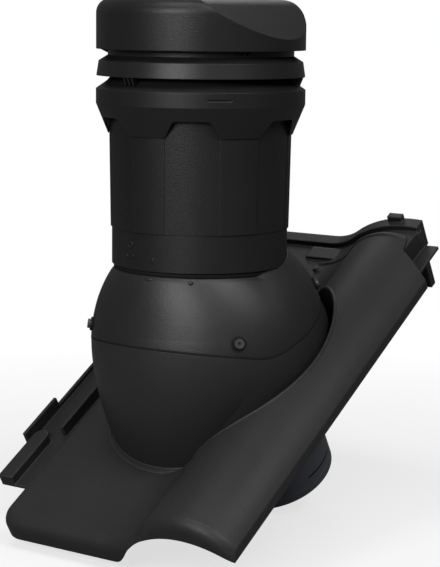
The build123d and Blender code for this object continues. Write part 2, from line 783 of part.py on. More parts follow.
with BuildPart() as base_tile:
    add(tile_form(0) - slab(tile_under, 0, lock_left, roll_right + skin, front_u, head_u))
    add(well_form(skin) & tile_form(0))
    add(tile_form(skin) - well_form(skin), mode=Mode.SUBTRACT)
    add(well_form(0), mode=Mode.SUBTRACT)

    # Head: the roll is sunk between a riser and a rib
    flat_left = pan_left + pan_edge_radius
    sunk_left = roll_foot_x - lip_radius
    above = slab(tile_top, roll_height, sunk_left, roll_right, sunk_u, head_u)
    add(above - slab(sunk_top, 0, sunk_left, roll_right, sunk_u, head_u), mode=Mode.SUBTRACT)
    band_foot = slab(sunk_top, -skin, flat_left, head_right, sunk_u - skin, head_u)
    add(slab(tile_top, 0, sunk_left, head_right, sunk_u - skin, sunk_u) - band_foot)
    add(slab(sunk_top, 0, sunk_left, head_right, sunk_u - skin, head_u) - band_foot)
    rib_u = head_u - head_rib_width
    add(slab(sunk_top, head_rib_height, flat_left, head_right, rib_u, head_u) - band_foot)
    groove_u = rib_u - head_groove_width
    groove = slab(sunk_top, roll_height, flat_left, head_right, groove_u, rib_u)
    groove_floor = slab(sunk_top, -head_groove_depth, flat_left, head_right, groove_u, rib_u)
    add(groove - groove_floor, mode=Mode.SUBTRACT)
    lug_foot = pan_h + sunk_crest - skin
    lug_top = pan_h + sunk_crest + head_rib_height + lug_height
    add(tile_box(lug_x, head_u - skin, lug_foot, lug_top, lug_width, 2 * skin))
    ridge_right = notch_top_x
    ridge = slab(tile_top, ridge_height, roll_x / 2, ridge_right, sunk_u - ridge_width, sunk_u)
    add(ridge - slab(tile_top, -skin / 2, roll_x / 2, ridge_right, sunk_u - ridge_width, sunk_u))
    shelf_middle = shelf_u + shelf_length / 2
    add(tile_box(shelf_x, shelf_middle, pan_h - skin, pan_h + shelf_height, shelf_width, shelf_length))

    # Notch at the head's right corner, with its side wall and the tongue under the next tile
    with BuildSketch(tile.offset(-pan_h)):
        with BuildLine():
            Polyline(
                (2 * roll_right, notch_u),
                (roll_right, notch_u),
                (notch_inner_x, notch_inner_u),
                (notch_top_x, sunk_u),
                (head_right, sunk_u),
                (head_right, 2 * head_u),
                (2 * roll_right, 2 * head_u),
                close=True,
            )
        make_face()
    extrude(amount=4 * pan_h, mode=Mode.SUBTRACT)
    wall_length = head_u - tongue_front_u
    wall_top = pan_h + sunk_crest - skin / 2
    tongue_low = pan_h + tongue_h
    add(tile_box(head_right - skin / 2, head_u - wall_length / 2, tongue_low, wall_top, skin, wall_length))
    tongue_length = tongue_back_u - tongue_front_u
    tongue_width = tongue_right - head_right + skin
    tongue_x = tongue_right - tongue_width / 2
    tongue_u = (tongue_back_u + tongue_front_u) / 2
    tongue_high = tongue_low + tongue_thickness
    add(tile_box(tongue_x, tongue_u, tongue_low, tongue_high, tongue_width, tongue_length))

    # Nail boss
    boss_foot = tile.from_local_coords(Vector(boss_x, boss_u, pan_h - skin))
    with BuildSketch(Plane(origin=boss_foot, z_dir=tile.z_dir)):
        Circle(boss_radius)
    extrude(amount=skin + boss_height)

    # Dome
    add(lower_dome(0))
    add(lower_dome(dome_wall), mode=Mode.SUBTRACT)
    with BuildSketch(*screw_planes):
        Circle(screw_radius + screw_hole_gap)
    extrude(amount=-screw_length, mode=Mode.SUBTRACT)

    # Ribs that sit on the batten, and nibs that hook behind it
    pan_ceiling = pan_h - skin / 2
    roll_ceiling = pan_h + sunk_crest - skin
    nib_u = batten_width / 2 + batten_gap + nib_thickness / 2
    for rib_x, ceiling in ((-seat_rib_x, pan_ceiling), (0, pan_ceiling), (seat_rib_x, roll_ceiling)):
        add(tile_box(rib_x, 0, 0, ceiling, seat_rib_width, batten_width))
        add(tile_box(rib_x, nib_u, -nib_depth, ceiling, nib_width, nib_thickness))

    # Side lock: a tray along the left edge with an outer flange, a taller tab, a rib and a hump
    tray_right = pan_left + skin
    for left_x, low_u, high_u in ((lock_front_x, lock_front_u, tab_u), (lock_left, tab_u, head_u)):
        middle_x, middle_u = (left_x + tray_right) / 2, (low_u + high_u) / 2
        add(tile_box(middle_x, middle_u, 0, lock_skin, tray_right - left_x, high_u - low_u))
    lock_length = head_u - lock_front_u
    lock_join = pan_h - lip_depth + lock_skin
    add(tile_box(pan_left + skin / 2, head_u - lock_length / 2, 0, lock_join, skin, lock_length))
    flange_x = lock_left + lock_skin / 2
    add(tile_box(flange_x, (tab_u + head_u) / 2, 0, lock_flange_top, lock_skin, head_u - tab_u))
    add(tile_box(flange_x, tab_u + tab_length / 2, 0, tab_top, lock_skin, tab_length))
    rib_length = head_u - lock_rib_u
    add(tile_box(lock_rib_x, head_u - rib_length / 2, 0, lock_rib_top, lock_rib_width, rib_length))
    hump_x = lock_front_x + hump_width / 2
    add(tile_box(hump_x, lock_front_u + hump_length / 2, 0, hump_top, hump_width, hump_length))
    hump_end = tile.from_local_coords(Vector(hump_x, lock_front_u + hump_length, 0))
    with BuildSketch(Plane(origin=hump_end, z_dir=tile.z_dir)):
        Circle(hump_width / 2)
    extrude(amount=hump_top)
base_tile.part.label = "base_tile"

# Write
os.makedirs("parts", exist_ok=True)
head_pieces = (cap, louvre_ring, collar)
pipe_pieces = (outer_pipe, pipe_sleeve, insulation, centring_ring, inner_duct, duct_seal)
spigot_pieces = (duct_spigot, spigot_ring)
hood_pieces = (hood, hood_screws, hood_washers, neck_seal)
for piece in (*head_pieces, *pipe_pieces, *spigot_pieces, *hood_pieces, base_tile):
    export_step(piece.part, "parts/" + piece.part.label + ".step")
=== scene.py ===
# %% [markdown]
# A roof tile vent stands on its roof pitch: a wide plastic tile, a domed foot, a hood held by four
# screws, an insulated pipe, and a louvred head with a rain cap. The solids come from the packed
# model, which is loaded first, and this file gives them their finish, the camera and the light.

import math

import bpy
import numpy as np
from mathutils import Matrix, Vector


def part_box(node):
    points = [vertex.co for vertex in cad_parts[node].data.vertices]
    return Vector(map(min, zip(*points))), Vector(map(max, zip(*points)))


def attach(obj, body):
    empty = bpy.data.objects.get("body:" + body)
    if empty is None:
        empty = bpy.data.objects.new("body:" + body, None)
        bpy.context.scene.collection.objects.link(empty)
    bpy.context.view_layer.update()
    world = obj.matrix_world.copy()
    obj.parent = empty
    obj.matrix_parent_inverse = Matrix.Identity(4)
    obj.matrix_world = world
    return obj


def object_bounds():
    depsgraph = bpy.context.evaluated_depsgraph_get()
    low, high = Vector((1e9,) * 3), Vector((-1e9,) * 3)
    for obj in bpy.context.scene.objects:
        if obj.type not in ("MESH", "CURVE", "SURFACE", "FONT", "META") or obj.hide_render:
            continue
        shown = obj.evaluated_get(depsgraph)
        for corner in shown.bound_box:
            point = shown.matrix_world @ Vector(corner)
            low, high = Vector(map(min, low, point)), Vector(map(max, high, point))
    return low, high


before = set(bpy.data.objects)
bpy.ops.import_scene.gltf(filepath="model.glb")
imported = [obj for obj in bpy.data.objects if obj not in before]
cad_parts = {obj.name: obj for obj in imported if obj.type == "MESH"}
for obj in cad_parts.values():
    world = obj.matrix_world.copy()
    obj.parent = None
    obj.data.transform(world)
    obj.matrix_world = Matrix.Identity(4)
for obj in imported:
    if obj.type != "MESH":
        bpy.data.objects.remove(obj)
cad_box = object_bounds()
print("nodes:", sorted(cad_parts))

# %% [markdown]
# The camera stands where the photographer stood: to the right of the tile's front and a little
# above the hood. Its place was worked out from the round rims of the pipe and the straight edges
# of the tile, so it is written here as plain numbers, in metres and degrees.

# %% Camera
camera_place = Vector((0.8995, -1.50345, 0.26788))
azimuth = math.radians(34.33)
elevation = math.radians(8.8)
roll = math.radians(0.587)

level_reach = math.cos(elevation)
forward = Vector((-math.sin(azimuth) * level_reach, math.cos(azimuth) * level_reach, -math.sin(elevation)))
level_right = Vector((math.cos(azimuth), math.sin(azimuth), 0))
level_up = level_right.cross(forward)
right = math.cos(roll) * level_right + math.sin(roll) * level_up
up = math.cos(roll) * level_up - math.sin(roll) * level_right

camera_data = bpy.data.cameras.new("camera")
camera_data.lens = 111.1
camera_data.sensor_width = 36
camera_data.clip_end = 20
camera = bpy.data.objects.new("camera", camera_data)
camera_turn = Matrix((right, up, -forward)).transposed().to_4x4()
camera.matrix_world = Matrix.Translation(camera_place) @ camera_turn
bpy.context.scene.collection.objects.link(camera)
bpy.context.scene.camera = camera
print("camera at", tuple(round(v, 3) for v in camera_place))

# %% [markdown]
# A finish is a small network of shader nodes. Writing it as sums keeps it readable: the class below
# wraps one socket, and each operator adds the Math node that works it out. The other nodes all
# come from one method, which takes the node's type, its settings and its inputs.

# %% Shader sums
class Wire:
    """One output socket of a node tree, which can be added, subtracted, multiplied and clamped."""

    def __init__(self, tree, socket):
        self.tree = tree
        self.socket = socket

    def node(self, kind, settings=None, out=0, **inputs):
        """Adds a node of this kind, sets it up, fills its inputs by name or place, and wraps an output."""
        node = self.tree.nodes.new(kind)
        for name, value in (settings or {}).items():
            setattr(node, name, value)
        for name, value in inputs.items():
            key = int(name[1:]) if name[0] == "i" and name[1:].isdigit() else name.replace("_", " ")
            socket = node.inputs[key]
            if isinstance(value, Wire):
                self.tree.links.new(value.socket, socket)
            else:
                socket.default_value = value
        return Wire(self.tree, node.outputs[out])

    def math(self, operation, *values):
        """One Math node on these values."""
        inputs = {f"i{place}": value for place, value in enumerate(values)}
        return self.node("ShaderNodeMath", {"operation": operation}, **inputs)

    def __add__(self, other):
        return self.math("ADD", self, other)

    __radd__ = __add__

    def __sub__(self, other):
        return self.math("SUBTRACT", self, other)

    def __rsub__(self, other):
        return self.math("SUBTRACT", other, self)

    def __mul__(self, other):
        return self.math("MULTIPLY", self, other)

    __rmul__ = __mul__

    def clamp(self, low, high):
        return self.math("MINIMUM", self.math("MAXIMUM", self, low), high)

    def mix(self, share, first, second):
        """A colour between first and second, each a wire or three plain numbers."""
        first, second = (c if isinstance(c, Wire) else (*c, 1.0) for c in (first, second))
        return self.node("ShaderNodeMix", {"data_type": "RGBA"}, out=2, i0=share, i6=first, i7=second)


def new_material(name):
    """An empty material: its name, its Principled shader, and the Object coordinates to start from."""
    material = bpy.data.materials.new(name)
    material.use_nodes = True
    tree = material.node_tree
    shader = tree.nodes["Principled BSDF"]
    place = Wire(tree, None).node("ShaderNodeTexCoord", out="Object")
    return material, shader, place


def connect(wire, shader, name):
    """Leads a wire into one of the shader's sockets."""
    wire.tree.links.new(wire.socket, shader.inputs[name])


print("shader sums ready")

# %% [markdown]
# The tile, the hood and the pipe are moulded in black plastic with a fine spark grain. Real
# mouldings aren't one flat black: the melt leaves faint lighter streaks, handling leaves slightly
# glossier patches, and the grain breaks up every highlight. Three sizes of noise make these.
#
# No moulded edge is sharp either. A Bevel node looks at the surface a few millimetres around each
# point and answers with a rounded normal, so that edges and inside corners catch a thin line of
# light. Where that normal leans away from the true one there is an edge or an inside corner, and
# the colour is painted lighter there: a painted highlight along each edge and corner.

# %% Moulded plastic
def moulded_plastic(name, dark, light, rough, grain_size, grain_depth, specular, edge_radius, edge_highlight_gain=2.4):
    """Colour runs from dark to light with slow noise and is painted lighter along edges as a highlight; fine
    noise gives the grain.
    """
    material, shader, place = new_material(name)
    clouds = place.node("ShaderNodeTexNoise", Vector=place, Scale=9.0, Detail=4.0, Roughness=0.55)
    stretched = place.node("ShaderNodeMapping", Vector=place, Scale=(14.0, 14.0, 3.0))
    streaks = place.node("ShaderNodeTexNoise", Vector=stretched, Scale=6.0, Detail=3.0)
    blend = (0.65 * clouds + 0.35 * streaks - 0.3).clamp(0.0, 1.0)
    rounded = place.node("ShaderNodeBevel", {"samples": 6}, Radius=edge_radius)
    true_normal = place.node("ShaderNodeNewGeometry", out="Normal")
    dot_product = {"operation": "DOT_PRODUCT"}
    lean = place.node("ShaderNodeVectorMath", dot_product, out="Value", i0=rounded, i1=true_normal)
    # Painted highlight: the colour is lightened where the Bevel normal leans away from the true one, at edges
    # and inside corners.
    painted_edge_highlight = (edge_highlight_gain * (1 - lean)).clamp(0.0, 0.8)
    painted_edge_colour = tuple(2.6 * channel for channel in light)
    colour = place.mix(blend, dark, light)
    colour = place.mix(painted_edge_highlight, colour, painted_edge_colour)
    connect(colour, shader, "Base Color")
    grain = place.node("ShaderNodeTexNoise", Vector=place, Scale=grain_size, Detail=2.0)
    connect(rough + 0.16 * (clouds - 0.5) + 0.06 * (grain - 0.5), shader, "Roughness")
    bump = place.node("ShaderNodeBump", Strength=0.35, Distance=grain_depth, Height=grain, Normal=rounded)
    connect(bump, shader, "Normal")
    shader.inputs["Specular IOR Level"].default_value = specular
    return material


tile_plastic = moulded_plastic(
    "tile_plastic",
    dark=(0.0195, 0.0195, 0.0200),
    light=(0.0300, 0.0300, 0.0307),
    rough=0.42,
    grain_size=900.0,
    grain_depth=0.0006,
    specular=0.25,
    edge_radius=0.0024,
)
hood_plastic = moulded_plastic(
    "hood_plastic",
    dark=(0.0115, 0.0115, 0.0119),
    light=(0.0185, 0.0185, 0.0190),
    rough=0.44,
    grain_size=1100.0,
    grain_depth=0.0005,
    specular=0.46,
    edge_radius=0.0010,
    edge_highlight_gain=1.2,
)
pipe_plastic = moulded_plastic(
    "pipe_plastic",
    dark=(0.0094, 0.0094, 0.0097),
    light=(0.0155, 0.0155, 0.0160),
    rough=0.39,
    grain_size=1100.0,
    grain_depth=0.0005,
    specular=0.32,
    edge_radius=0.0008,
    edge_highlight_gain=0.4,
)
duct_plastic = moulded_plastic(
    "duct_plastic",
    dark=(0.0700, 0.0750, 0.0920),
    light=(0.1000, 0.1070, 0.1280),
    rough=0.42,
    grain_size=900.0,
    grain_depth=0.0004,
    specular=0.26,
    edge_radius=0.0008,
)
print("plastics:", [m.name for m in (tile_plastic, hood_plastic, pipe_plastic, duct_plastic)])

# %% [markdown]
# The rubber of the seals and the pale foam in the pipe's wall are uneven in the same ways, only
# rougher and coarser, so the same recipe makes them with other numbers, painted edge highlight and all.

# %% Rubber and foam
seal_rubber = moulded_plastic(
    "seal_rubber",
    dark=(0.006, 0.006, 0.006),
    light=(0.011, 0.011, 0.011),
    rough=0.75,
    grain_size=700.0,
    grain_depth=0.0006,
    specular=0.20,
    edge_radius=0.0005,
)
foam = moulded_plastic(
    "insulation_foam",
    dark=(0.50, 0.51, 0.53),
    light=(0.66, 0.67, 0.69),
    rough=0.85,
    grain_size=260.0,
    grain_depth=0.0020,
    specular=0.20,
    edge_radius=0.0010,
)
print("softer finishes:", seal_rubber.name, foam.name)

# %% [markdown]
# The screws are steel with a black coat. Where a driver has turned them the coat is thinner, so a
# little metal shows through as small, slightly shinier specks.

# %% Coated screws
def coated_metal(name):
    """Black coat with specks: a steep ramp of fine noise mixes in brighter, more metallic spots."""
    material, shader, place = new_material(name)
    noise = place.node("ShaderNodeTexNoise", Vector=place, Scale=420.0, Detail=3.0)
    worn = (6.0 * (noise - 0.62)).clamp(0.0, 1.0)
    connect(place.mix(worn, (0.045, 0.045, 0.047), (0.26, 0.26, 0.27)), shader, "Base Color")
    connect(0.7 * worn, shader, "Metallic")
    connect(0.38 - 0.12 * worn, shader, "Roughness")
    connect(place.node("ShaderNodeBump", Strength=0.2, Distance=0.0003, Height=noise), shader, "Normal")
    return material


screw_metal = coated_metal("screw_metal")
print("screw finish:", screw_metal.name)

# %% [markdown]
# Each solid takes the finish of its real material. The solids keep their shape and place; only the
# material in their slots changes.

# %% Finishes on the solids
finishes = {
    "base_tile": tile_plastic,
    "hood": hood_plastic,
    "hood_screws": screw_metal,
    "hood_washers": seal_rubber,
    "neck_seal": seal_rubber,
    "duct_seal": seal_rubber,
    "pipe_sleeve": pipe_plastic,
    "outer_pipe": pipe_plastic,
    "collar": pipe_plastic,
    "louvre_ring": pipe_plastic,
    "cap": pipe_plastic,
    "centring_ring": pipe_plastic,
    "inner_duct": duct_plastic,
    "duct_spigot": duct_plastic,
    "spigot_ring": duct_plastic,
    "insulation": foam,
}
for name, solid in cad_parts.items():
    solid.data.materials.clear()
    solid.data.materials.append(finishes[name])
print("finished", len(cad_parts), "solids")

# %% [markdown]
# Some forms are left to this file: small marks and guides, fillets, seals, and two thin skins over
# the hood's shoulder and the dome's front. Each is a row of closed loops: numpy works out every
# loop as an array of points, and neighbouring loops are joined by faces, so that the piece is a
# closed surface. The row's direction decides which way the faces point, and a row whose faces
# would point inwards is turned round with [::-1].
#
# The marks and guides are laid out flat first, as x and y on the face and a height above it, and
# a carrier then bends that flat layout onto the part, so each one sits on what carries it.

# %% Loops to mesh
def looped_piece(name, loops, material, wrap=False):
    """Joins loops, an array of shape (rows, points, 3), by quads; the ends are capped, or joined if wrap."""
    rows, count = loops.shape[:2]
    row, column = np.meshgrid(np.arange(rows if wrap else rows - 1), np.arange(count), indexing="ij")
    after, along = (row + 1) % rows, (column + 1) % count
    corners = (row * count + column, row * count + along, after * count + along, after * count + column)
    faces = [tuple(face) for face in np.stack(corners, axis=-1).reshape(-1, 4).tolist()]
    if not wrap:
        faces.append(tuple(range(count))[::-1])
        faces.append(tuple(range((rows - 1) * count, rows * count)))
    mesh = bpy.data.meshes.new(name)
    mesh.from_pydata(loops.reshape(-1, 3).tolist(), [], faces)
    mesh.shade_smooth()
    mesh.materials.append(material)
    piece = bpy.data.objects.new(name, mesh)
    bpy.context.scene.collection.objects.link(piece)
    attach(piece, "root")
    print(name, "faces:", len(faces))


def blister(outline, height, sink=0.0004):
    """A raised pad over a flat outline: its loops shrink inwards as they rise along a quarter ellipse."""
    middle = outline.mean(axis=0)
    turn = np.radians(np.array([0, 15, 35, 55, 75, 86]))[:, None, None]
    flat = middle + (outline - middle) * (1 - 0.35 * (1 - np.cos(turn)) - 0.6 * (turn == turn[-1]))
    rise = -sink + (height + sink) * np.sin(turn) * np.ones((1, len(outline), 1))
    base = np.concatenate([outline, np.full((len(outline), 1), -2 * sink)], axis=1)[None]
    return np.concatenate([base, np.concatenate([flat, rise], axis=2)])


round_turn = np.linspace(0, 2 * np.pi, 24, endpoint=False)


def oval(half_width, half_height):
    """A flat outline: x = half width * cos t, y = half height * sin t."""
    return np.stack([half_width * np.cos(round_turn), half_height * np.sin(round_turn)], axis=1)


def end_taper(turn, run, least):
    """Share of its full size that a strip has at each turn: the root of the way from the nearer end."""
    return np.sqrt(np.clip(np.minimum(turn - turn[0], turn[-1] - turn) / run, least, 1))


print("loops ready")

# %% [markdown]
# On the sleeve, where the pipe is turned to lock it on the hood, the real part has a few small
# raised marks: a ring, two dots, a stroke and an arrow that points down. The sleeve is a cylinder,
# so its carrier turns x into an angle and adds the height to the radius.

# %% Lock marks on the sleeve
sleeve_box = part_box("pipe_sleeve")
pipe_x = (sleeve_box[0][0] + sleeve_box[1][0]) / 2
pipe_y = (sleeve_box[0][1] + sleeve_box[1][1]) / 2
sleeve_radius = (sleeve_box[1][0] - sleeve_box[0][0]) / 2
sleeve_foot = sleeve_box[0][2]
millimetre = 0.001
ring_radius, ring_half_width, ring_height = 0.0026, 0.0006, 0.0005


def on_sleeve(layout, angle, above_foot):
    """Bends a flat layout round the sleeve: x runs round it from angle, y runs up and z outwards."""
    turn = np.radians(angle) + layout[..., 0] / sleeve_radius
    reach = sleeve_radius + layout[..., 2]
    height = sleeve_foot + above_foot + layout[..., 1]
    return np.stack([pipe_x + reach * np.cos(turn), pipe_y + reach * np.sin(turn), height], axis=-1)


def ring():
    """A flattened tube bent into a circle, on two turns: one round the tube and one round the circle."""
    tube_turn = np.linspace(0, 2 * np.pi, 10, endpoint=False)[:, None]
    reach = ring_radius + ring_half_width * np.cos(tube_turn)
    rise = ring_height * np.sin(tube_turn) * np.ones((1, len(round_turn)))
    return np.stack([reach * np.cos(round_turn)[None], reach * np.sin(round_turn)[None], rise], axis=-1)


dot = oval(0.0011, 0.0011)
for number, angle in enumerate((-108.2, -102.1), start=1):
    raised_dot = on_sleeve(blister(dot, 0.0006), angle, 0.0115)
    looped_piece(f"lock_dot_{number}", raised_dot, pipe_plastic)
arrow = millimetre * np.array([(-1.6, 3.0), (0, 2.2), (1.6, 3.0), (0.9, -0.6), (0, -3.4), (-0.9, -0.6)])[::-1]
looped_piece("lock_arrow", on_sleeve(blister(arrow, 0.0005), -86.1, 0.0092), pipe_plastic)
stroke = millimetre * np.array([(-2.6, -2.8), (-1.8, -3.2), (2.6, 2.6), (1.8, 3.0)])
looped_piece("lock_stroke", on_sleeve(blister(stroke, 0.0004), -89.2, 0.0196), pipe_plastic)
looped_piece("lock_ring", on_sleeve(ring(), -104.7, 0.0214), pipe_plastic, wrap=True)

# %% [markdown]
# Where the dome rises from the tile, the mould has a hollow fillet instead of a sharp corner, and
# it shows as a pale line all round the dome's foot. The foot is two half ellipses. The fillet's
# profile, a quarter circle with a square back, is carried round that path: at each point it stands
# along the outward normal of the ellipse, and up along the normal of the tile.

# %% Fillet round the dome's foot
pitch = math.radians(30)
across_tile = np.array((1, 0, 0))
up_slope = np.array((0, math.cos(pitch), math.sin(pitch)))
off_tile = np.array((0, -math.sin(pitch), math.cos(pitch)))
dome_place = -0.189 * up_slope + 0.024 * off_tile
foot_left, foot_right, foot_length = 0.1060, 0.0950, 0.1235
fillet_radius, fillet_sink = 0.0042, 0.0008


def foot_fillet():
    """Profile (outwards, up) carried round the foot: x = half width * cos t, u = length * sin t."""
    t = np.linspace(0, 2 * np.pi, 240, endpoint=False)
    half_width = np.where(np.cos(t) >= 0, foot_right, foot_left)
    path = np.stack([half_width * np.cos(t), foot_length * np.sin(t)], axis=1)
    normal = np.stack([foot_length * np.cos(t), half_width * np.sin(t)], axis=1)
    normal /= np.linalg.norm(normal, axis=1)[:, None]
    arc = np.radians(np.linspace(0, 90, 9))
    size, back = fillet_radius, -fillet_sink
    outwards = np.concatenate([size * (1 - np.sin(arc)), [back, back, size]])
    upwards = np.concatenate([size * (1 - np.cos(arc)), [size, back, back]])
    flat = path[None] + outwards[:, None, None] * normal[None]
    on_pan = dome_place + flat[..., :1] * across_tile + flat[..., 1:] * up_slope
    return on_pan + upwards[:, None, None] * off_tile


looped_piece("dome_foot_fillet", foot_fillet(), tile_plastic, wrap=True)

# %% [markdown]
# The roll's top ends in a rounded rim where the well round the dome is sunk into it, and that rim
# shows as a pale line from the tile's front to the back of the dome. The well is a cone between two
# ellipses and the roll is a hollow arc followed by a round one, so the rim is where they meet. A
# thin tube is carried along it, a little more than half sunk into the tile, and thins out at both
# ends.

# %% Rim of the well
well_foot, well_top, well_depth = np.array((0.0990, 0.1275)), np.array((0.1100, 0.1340)), 0.0465
roll_x, roll_crest, roll_radius = 0.093, 0.0455, 0.060
valley_radius = (roll_x**2 + (roll_crest - roll_radius) ** 2 - roll_radius**2) / (2 * roll_crest)
valley_end = roll_x * valley_radius / (valley_radius + roll_radius)
bead_radius, bead_sink, bead_taper = 0.0019, 0.0011, math.radians(16)


def roll_rise(x):
    """Height of the tile's top above the pan: flat, then the valley's hollow arc, then the roll's arc."""
    hollow = valley_radius - np.sqrt(np.maximum(valley_radius**2 - np.maximum(x, 0) ** 2, 0))
    crown = roll_crest - roll_radius + np.sqrt(np.maximum(roll_radius**2 - (x - roll_x) ** 2, 0))
    return np.where(x < valley_end, hollow, crown)


def well_rim():
    """A tube along x = a cos t, u = b sin t, height = roll's rise at x; a and b grow with that height."""
    t = np.radians(np.linspace(-80, 78, 200))
    rise = np.zeros_like(t)
    for _ in range(30):
        half = well_foot + (well_top - well_foot) * rise[:, None] / well_depth
        rise = 0.5 * rise + 0.5 * roll_rise(half[:, 0] * np.cos(t))
    outwards = np.stack([half[:, 1] * np.cos(t), half[:, 0] * np.sin(t)], axis=1)
    outwards /= np.linalg.norm(outwards, axis=1)[:, None]
    flat = half * np.stack([np.cos(t), np.sin(t)], axis=1) + bead_sink * outwards
    middle = flat[:, :1] * across_tile + flat[:, 1:] * up_slope + (rise[:, None] - bead_sink) * off_tile
    across = outwards[:, :1] * across_tile + outwards[:, 1:] * up_slope
    along = np.gradient(middle, axis=0)
    along /= np.linalg.norm(along, axis=1)[:, None]
    lift = np.cross(across, along)
    lift /= np.linalg.norm(lift, axis=1)[:, None]
    side = np.cross(along, lift)
    radius = bead_radius * end_taper(t, bead_taper, 0.03)
    turn = np.linspace(0, 2 * np.pi, 12, endpoint=False)[None, :, None]
    tube = np.cos(turn) * side[:, None] + np.sin(turn) * lift[:, None]
    return dome_place + middle[:, None] + radius[:, None, None] * tube


looped_piece("well_rim", well_rim()[::-1], tile_plastic)

# %% [markdown]
# At the front the hood swells out at once from under the sleeve, where the solid has a plain round
# neck above its ellipsoid. This shoulder lies over that neck. Seen from the pipe's axis, its reach
# in each direction is the ellipsoid's plus a swell, which is as large as it takes to reach the
# sleeve's edge at the top, and fades to nothing above the hood's rim with the square of the height.
# At its top the shoulder is drawn in under the sleeve, so that the sleeve's foot throws a dark line.

# %% Hood's shoulder
dome_radius, dome_height, dome_rise = 0.1075, 0.0985, 0.0596
dome_centre = dome_place + dome_rise * off_tile
dome_scale = np.stack([across_tile / dome_radius, up_slope / dome_radius, off_tile / dome_height])
neck_outside, neck_inside = 0.0758, 0.0746
shoulder_edge, edge_drop = 0.0789, 0.0062
shoulder_top, lip_height = 0.0034, 0.0048
shoulder_foot, shoulder_wall = 0.0620, 0.0012
swell_blend, shoulder_fit = 0.001, 0.00012


def dome_reach(turn, height):
    """Distance from the pipe's axis to the ellipsoid: the larger root of a ray's quadratic."""
    axis = np.stack([pipe_x + 0 * height, pipe_y + 0 * height, height], axis=-1)
    start = (axis - dome_centre) @ dome_scale.T
    way = np.stack([np.cos(turn), np.sin(turn), 0 * turn], axis=-1) @ dome_scale.T
    half, square = (start * way).sum(axis=-1), (way**2).sum(axis=-1)
    return (-half + np.sqrt(half**2 - square * ((start**2).sum(axis=-1) - 1))) / square


def shoulder_reach(turn, height):
    """The ellipsoid's reach and a swell that fades downwards, drawn in to the neck on a quarter ellipse."""
    short = shoulder_edge - dome_reach(turn, sleeve_foot - edge_drop + 0 * height)
    swell = (short + np.sqrt(short**2 + swell_blend**2)) / 2
    fade = np.clip((height - sleeve_foot + shoulder_foot) / (shoulder_foot - edge_drop), 0, None)
    full = dome_reach(turn, height) + swell * fade**2 - shoulder_fit
    drawn_in = np.clip((height - sleeve_foot + shoulder_top + lip_height) / lip_height, 0, 1)
    return neck_outside + (full - neck_outside) * np.sqrt(1 - drawn_in**2)


def round_pipe(turn, reach, height):
    """Points at a turn about the pipe's axis, a reach from it and a height."""
    return np.stack([pipe_x + reach * np.cos(turn), pipe_y + reach * np.sin(turn), height], axis=-1)


def shoulder():
    """A closed loop for each turn: down the outside, closely spaced at the lip, and back up the inside."""
    way = np.linspace(0, 1, 70)
    drop = shoulder_top + (shoulder_foot - shoulder_top) * way**1.8
    turn, height = np.meshgrid(np.radians(np.linspace(-190, 10, 221)), sleeve_foot - drop, indexing="ij")
    outside = round_pipe(turn, shoulder_reach(turn, height), height)
    inside = round_pipe(turn, np.maximum(dome_reach(turn, height) - shoulder_wall, neck_inside), height)
    return np.concatenate([outside, inside[:, ::-1]], axis=1)


looped_piece("hood_shoulder", shoulder(), hood_plastic)

# %% [markdown]
# Below the hood's rim the front of the dome runs down to the tile in one smooth curve. The solid
# has two curves there, an ellipsoid and a loft, which meet in a faint waist, so a skin lies over
# its front. In each direction round the dome's axis its profile is the cubic that leaves the rim
# along the ellipsoid and arrives on the pan square to it. Seen from the side, the rim is two
# straight lines joined by an arc, and halving finds the height at which each profile starts.

# %% Skin over the dome's front
sleeve_drop = 0.033
shell_foot = sleeve_foot + sleeve_drop
rim_front, rim_back, rim_y, rim_z, rim_bend = -0.135, 0.395, -0.0298, -0.106, 0.050
front_tilt, back_tilt = math.atan(-rim_front), math.atan(rim_back)
bend_run = rim_bend * math.tan((front_tilt + back_tilt) / 2)
bend_y = rim_bend * math.sin(front_tilt) - bend_run * math.cos(front_tilt)
bend_z = rim_bend * math.cos(front_tilt) + bend_run * math.sin(front_tilt)
front_turn = np.radians(np.linspace(-168, -20, 150))
foot_side = np.where(np.cos(front_turn) > 0, foot_right, foot_left)
foot_reach = 1 / np.hypot(np.cos(front_turn) / foot_side, np.sin(front_turn) / foot_length)
skin_top, skin_fit, skin_wall = 0.0016, 0.0001, 0.0016


def round_dome(turn, reach, rise):
    """Points at a turn about the dome's axis, a reach from it and a rise above the pan."""
    way = np.cos(turn)[..., None] * across_tile + np.sin(turn)[..., None] * up_slope
    return dome_place + reach[..., None] * way + rise[..., None] * off_tile


def ellipsoid_reach(rise):
    """Half width of the ellipsoid at a rise above the pan."""
    return dome_radius * np.sqrt(1 - ((rise - dome_rise) / dome_height) ** 2)


def rim_height(y):
    """Height of the rim's side view over its lowest corner: two lines, and the arc that touches both."""
    arc = bend_z - np.sqrt(np.maximum(rim_bend**2 - (y - bend_y) ** 2, 0))
    on_arc = (y > -bend_run * math.cos(front_tilt)) & (y < bend_run * math.cos(back_tilt))
    return np.where(on_arc, arc, np.maximum(rim_front * y, rim_back * y))


def rim_rise(turn, below):
    """The rise at which each profile of the ellipsoid passes this far below the rim, found by halving."""
    low, high = np.full_like(turn, dome_rise), np.full_like(turn, dome_rise + 0.9 * dome_height)
    for _ in range(40):
        rise = (low + high) / 2
        place = round_dome(turn, ellipsoid_reach(rise), rise)
        rim = shell_foot + rim_z - below + rim_height(place[..., 1] - pipe_y - rim_y)
        under = place[..., 2] < rim
        low, high = np.where(under, rise, low), np.where(under, high, rise)
    return low


